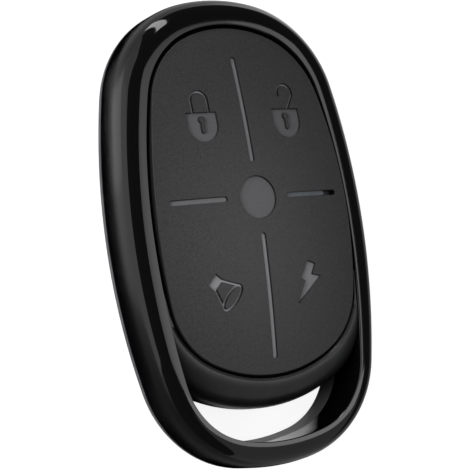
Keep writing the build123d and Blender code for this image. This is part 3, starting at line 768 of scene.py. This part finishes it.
def sheetPiece(name, net, chosen, height, marks, bottom):
    # Closed solid under the chosen triangles of the net
    spots, faces = net
    faces = faces[chosen]
    used, compact = np.unique(faces, return_inverse=True)
    faces = compact.reshape(faces.shape)
    count = len(used)
    top = np.column_stack([spots[used], height[used]])
    low = np.column_stack([spots[used], np.full(count, bottom)])
    sides = dict.fromkeys(map(tuple, np.concatenate([faces[:, (0, 1)], faces[:, (1, 2)], faces[:, (2, 0)]])))
    walls = [(a, a + count, b + count, b) for a, b in sides if (b, a) not in sides]
    piece = newPiece(name, np.concatenate([top, low]) * mm, [*faces, *(faces[:, ::-1] + count), *walls])
    for markName, mark in marks.items():
        layer = piece.data.attributes.new(markName, "FLOAT", "POINT")
        layer.data.foreach_set("value", np.tile(mark[used], 2).astype(np.float32))
    smooth(piece, keypad["sharpFrom"])
    dress(piece, finishes["keypad_rubber"])
    return piece


def addNub(piece, x, y):
    # Stub under a zone that meets its switch
    shell = bmesh.new()
    shell.from_mesh(piece.data)
    length = keypad["keyBottom"] - nub["foot"] + keypad["depth"]
    centre, radius = (nub["foot"] + length / 2) * mm, nub["radius"] * mm
    bmesh.ops.create_cone(shell, cap_ends=True, segments=nub["sides"], radius1=radius, radius2=radius,
                          depth=length * mm, matrix=Matrix.Translation((x * mm, y * mm, centre)))
    shell.to_mesh(piece.data)
    shell.free()


def makeKeypad():
    spots, faces = keypadNet()
    x, y = spots.T
    drop, polishAndSheen, wall = engraving(x, y)
    inset = np.clip(-keypadField(x, y), 0, None)
    # The sheet's own edge gets painted shade as well
    shade, width = keypad["edgeShade"]
    wall = np.maximum(wall, shade * np.clip(1 - inset / width, 0, 1))
    marks = {"polishAndSheen": polishAndSheen, "wall": wall}
    radius = keypad["edgeRadius"]
    fromEdge = np.clip(radius - inset, 0, radius)
    height = domeHeight(x, y) - drop - radius + np.sqrt(radius ** 2 - fromEdge ** 2)
    middleX, middleY = spots[faces].mean(axis=1).T
    onSheet = (keypadField(middleX, middleY) < 0) & (windowField(middleX, middleY) > 0)
    free = onSheet.copy()
    for name, (sideX, sideY) in zones.items():
        inZone = onSheet & (zoneField(name, middleX, middleY) < 0)
        free &= ~inZone
        net = (pulledIn(name, spots), faces)
        key = sheetPiece(name + "Key", net, inZone, height, marks, keypad["keyBottom"])
        addNub(key, sideX * nub["x"], nub["upperY"] if sideY > 0 else nub["lowerY"])
        standFor(key, name + "_key", name + "_key")
    sheet = sheetPiece("keypadSheet", (spots, faces), free, height, marks, keypad["bottom"])
    standFor(sheet, "keypad_mat", "case")
    print("keypad made:", len(faces), "triangles in its net")


makeKeypad()

# The pieces inside keep their CAD meshes
slotOf = {part["node"]: part["material_slot"] for part in frame["record"]["subparts"]}
for nodeName, node in frame["nodes"].items():
    if not node.hide_render:
        dress(node, finishes[slotOf[nodeName]])

# Smooth copies of the switches' snap discs, each with its own mesh
for name in zones:
    disc = copyNode(name + "_switch_dome", name + "SnapDisc", "switch_steel")
    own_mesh(disc)

# Studio: white paper that curves up to a low wall, lit cloths that the gloss mirrors, and one soft box

white = (1, 1, 1, 1)
# How the paper looks. The last list is a painted reflection, its brightness as the gloss mirrors it, by
# direction in degrees from the right-hand side; the hole's values paint a pool of light below the key-ring
# hole.
paper = {"colour": "#f2f2f2", "seen": "#8c8c8c", "shadowReach": 30.0, "shadow": (0.1, 0.55, 0.88, 0.93),
         "mirroredShadow": (0.785, 0.82), "holeMiddle": (3.0, -30.2), "holeHalf": (15.0, 3.4),
         "holeEdge": (0.6, 1.1), "paintedHoleLight": 0.55,
         "paintedReflection": ((0, 0.45), (22, 0.6), (38, 1.1), (50, 1.7), (62, 1.2), (75, 0.7), (112, 0.5),
                      (132, 1.0), (143, 1.9), (155, 1.9), (166, 1.3), (182, 1.15), (194, 0.85), (206, 0.35),
                      (230, 0.15), (270, 0.2), (292, 0.45), (315, 0.4), (340, 0.4), (360, 0.45))}


def floorFinish():
    # Matte white paper. What the camera and reflections see is lifted to white, and keeps part of the shadow.
    material, add = newMaterial("whitePaper")
    matte = add("ShaderNodeBsdfDiffuse", {"Color": toLinear(paper["colour"])})
    seen = add("ShaderNodeBsdfDiffuse", {"Color": toLinear(paper["seen"])})
    rays = add("ShaderNodeLightPath").outputs
    # Right beside the remote the glow falls off as a contact shadow does, deepest in reflections
    shade = add("ShaderNodeAmbientOcclusion", {"Distance": paper["shadowReach"] * mm}, samples=8)
    shade = shade.outputs["AO"]
    soft = add("ShaderNodeMapRange", dict(enumerate(paper["shadow"], 1)), {0: shade})
    deep = add("ShaderNodeMapRange", dict(enumerate(paper["mirroredShadow"], 1)), {0: shade})
    # Painted reflection of an uneven room: bright panels left and upper right, dark at the key-ring end
    place = add("ShaderNodeTexCoord").outputs["Object"]
    apart = add("ShaderNodeSeparateXYZ", links={0: place})
    turn = add("ShaderNodeMath", links={0: apart.outputs["Y"], 1: apart.outputs["X"]}, operation="ARCTAN2")
    for step in ("FLOORED_MODULO", "DIVIDE"):
        turn = add("ShaderNodeMath", {1: 2 * pi}, {0: turn}, operation=step)
    paintedRoom = add("ShaderNodeFloatCurve", links={"Value": turn})
    points = paintedRoom.mapping.curves[0].points
    # The curve holds half the brightness, because its height ends at one
    first, *between, last = [(degrees / 360, level / 2) for degrees, level in paper["paintedReflection"]]
    for spot in between:
        points.new(*spot)
    points[0].location, points[-1].location = first, last
    for point in points:
        point.handle_type = "AUTO_CLAMPED"
    paintedRoom.mapping.update()
    deep = add("ShaderNodeMath", links={0: deep, 1: paintedRoom}, operation="MULTIPLY")
    deep = add("ShaderNodeMath", {1: 2.0}, {0: deep}, operation="MULTIPLY")
    # A painted pool of light on the paper below the key-ring hole, seen only in reflections
    middle = (*[side * mm for side in paper["holeMiddle"]], 0.0)
    shrink = (*[1 / (half * mm) for half in paper["holeHalf"]], 0.0)
    hole = add("ShaderNodeVectorMath", {1: middle}, {0: place}, operation="SUBTRACT")
    hole = add("ShaderNodeVectorMath", {1: shrink}, {0: hole}, operation="MULTIPLY")
    hole = add("ShaderNodeVectorMath", links={0: hole}, operation="LENGTH").outputs["Value"]
    steps = dict(enumerate(paper["holeEdge"] + (paper["paintedHoleLight"], 0.0), 1))
    hole = add("ShaderNodeMapRange", steps, {0: hole})
    deep = add("ShaderNodeMath", links={0: deep, 1: hole}, operation="MAXIMUM")
    glow = add("ShaderNodeEmission", {"Color": white}, {"Strength": soft})
    lifted = add("ShaderNodeAddShader", links={0: seen, 1: glow})
    paintedReflection = add("ShaderNodeEmission", {"Color": white}, {"Strength": deep})
    ray = add("ShaderNodeMath", links={0: rays["Is Glossy Ray"], 1: rays["Is Transmission Ray"]},
              operation="MAXIMUM")
    rest = add("ShaderNodeMixShader", links={0: ray, 1: matte, 2: paintedReflection})
    whole = add("ShaderNodeMixShader", links={0: rays["Is Camera Ray"], 1: rest, 2: lifted})
    add("ShaderNodeOutputMaterial", links={"Surface": whole})
    return material


# Shape of the paper in metres, and its drop below the remote in millimetres
paperShape = {"rings": (0.05, 0.15, 0.4, 0.8, 1.2), "coveRadius": 0.3, "coveSteps": 8, "segments": 96,
              "drop": 0.15}


def makeFloor():
    rings, bend, steps = paperShape["rings"], paperShape["coveRadius"], paperShape["coveSteps"]
    profile = [(radius, 0.0) for radius in rings]
    for k in range(1, steps + 1):
        angle = k * pi / 2 / steps
        profile.append((rings[-1] + bend * sin(angle), bend * (1 - cos(angle))))
    count, drop = paperShape["segments"], paperShape["drop"] * mm
    turns = [2 * pi * k / count for k in range(count)]
    points = [(0.0, 0.0, -drop)]
    points += [(radius * cos(turn), radius * sin(turn), height - drop)
               for radius, height in profile for turn in turns]
    faces = [(0, 1 + k, 1 + (k + 1) % count) for k in range(count)]
    for ring in range(len(profile) - 1):
        base = 1 + ring * count
        faces += [(base + k, base + count + k, base + count + (k + 1) % count, base + (k + 1) % count)
                  for k in range(count)]
    floor = newPiece("studioFloor", points, faces)
    floor.data.shade_smooth()
    dress(floor, floorFinish())


def aim(holder, place, side, upright, toward):
    # Stands a lamp or a camera at a place, looking against the last direction
    basis = Matrix((side, upright, toward)).transposed()
    holder.matrix_world = Matrix.Translation(place) @ basis.to_4x4()


# Soft box at the left that the gloss doesn't mirror, in degrees and metres, with its radiance, and the
# brightness of the dim world round it
fill = {"azimuth": 170, "elevation": 18, "distance": 0.5, "size": 0.36, "radiance": 7.3, "world": 0.07}


def makeFill():
    lamp = bpy.data.lights.new("fill", "AREA")
    lamp.size = fill["size"]
    lamp.energy = fill["radiance"] * pi * fill["size"] ** 2
    holder = addObject("fill", lamp)
    holder.visible_glossy = False
    a, e = radians(fill["azimuth"]), radians(fill["elevation"])
    toward = Vector((cos(a) * cos(e), sin(a) * cos(e), sin(e)))
    side = Vector((0, 1, 0)).cross(toward).normalized()
    aim(holder, toward * fill["distance"], side, toward.cross(side), toward)


# Lit cloths that the gloss mirrors, by their corners: the angles from straight above
# towards +X and towards +Y in degrees, and the brightness there
cloths = {
    "rightOverhead": ((9, -4, 1.3), (33, -4, 2.6), (33, 18.5, 0.9), (21, 18.5, 1.2)),
    "lipCloth": ((33, -4, 2.2), (39.5, -4, 2.2), (39.5, 18.5, 1.8), (33, 18.5, 1.8)),
    "lowLipCloth": ((24, -9.5, 3.0), (42, -9.5, 3.0), (42, -4, 3.0), (24, -4, 3.0)),
    "lowCloth": ((18, -9.5, 0.47), (46, -9.5, 0.47), (56.6, -67.4, 0.47), (0, -86, 0.47)),
    "leftCloth": ((-44, 23, 1.15), (-60, -17, 1.15), (-85, -28, 1.15), (-68.6, 57.5, 1.15)),
    "upperCloth": ((-12, 40, 0.85), (-44, 23, 1.0), (-68.6, 57.5, 1.0), (-22, 83, 0.5)),
    "slantedLamp": ((16, 42, 6.0), (9, 42, 6.0), (-18, 87, 6.0), (-6, 88, 6.0)),
}
clothDistance = 0.6   # metres


def stretchedCloth(name, corners):
    material, add = newMaterial("litDiffuserCloth")
    lit = add("ShaderNodeAttribute", attribute_name="lit").outputs["Fac"]
    glow = add("ShaderNodeEmission", {"Color": white}, {"Strength": lit})
    add("ShaderNodeOutputMaterial", links={"Surface": glow})
    points = []
    for u, v, level in corners:
        tilt, turn = radians(hypot(u, v)), atan2(v, u)
        toward = (sin(tilt) * cos(turn), sin(tilt) * sin(turn), cos(tilt))
        points.append([clothDistance * part for part in toward])
    cloth = newPiece(name, points, [(3, 2, 1, 0)])
    levels = cloth.data.attributes.new("lit", "FLOAT", "POINT")
    levels.data.foreach_set("value", [level for u, v, level in corners])
    dress(cloth, material)
    cloth.visible_camera = False


def makeStudio():
    makeFloor()
    for name, corners in cloths.items():
        stretchedCloth(name, corners)
    makeFill()
    world = bpy.data.worlds.new("dimStudio")
    world.use_nodes = True
    world.node_tree.nodes.clear()
    back = addNode(world.node_tree, "ShaderNodeBackground", {"Color": white, "Strength": fill["world"]})
    addNode(world.node_tree, "ShaderNodeOutputWorld", links={"Surface": back})
    bpy.context.scene.world = world


# Camera at the photograph's angle: from the left and slightly from the key-ring end. Angles are in radians,
# and the nearest and farthest things that it sees in metres.
shot = {"left": 0.5799, "low": 0.1086, "roll": 0.1468, "distance": 213.3, "aimX": -3.1525, "aimY": -1.2771,
        "lipHeight": 9.6, "focalPixels": 1430.1, "framePixels": 470, "sensor": 36.0, "near": 0.01, "far": 10}


def makeCamera():
    left, low, roll = shot["left"], shot["low"], shot["roll"]
    toward = Vector((-sin(left), -sin(low) * cos(left), cos(left) * cos(low)))
    right = Vector((0, 1, 0)).cross(toward).normalized()
    upright = toward.cross(right)
    turnedRight = cos(roll) * right - sin(roll) * upright
    turnedUp = sin(roll) * right + cos(roll) * upright
    place = shot["aimX"] * turnedRight + shot["aimY"] * turnedUp + shot["distance"] * toward
    place.z += shot["lipHeight"]
    lens = bpy.data.cameras.new("camera")
    lens.sensor_width = shot["sensor"]
    lens.lens = shot["focalPixels"] * shot["sensor"] / shot["framePixels"]
    lens.clip_start, lens.clip_end = shot["near"], shot["far"]
    camera = addObject("camera", lens)
    aim(camera, place * mm, turnedRight, turnedUp, toward)
    bpy.context.scene.camera = camera


makeStudio()
makeCamera()
bpy.context.scene.view_settings.view_transform = "Standard"
print("studio and camera made")
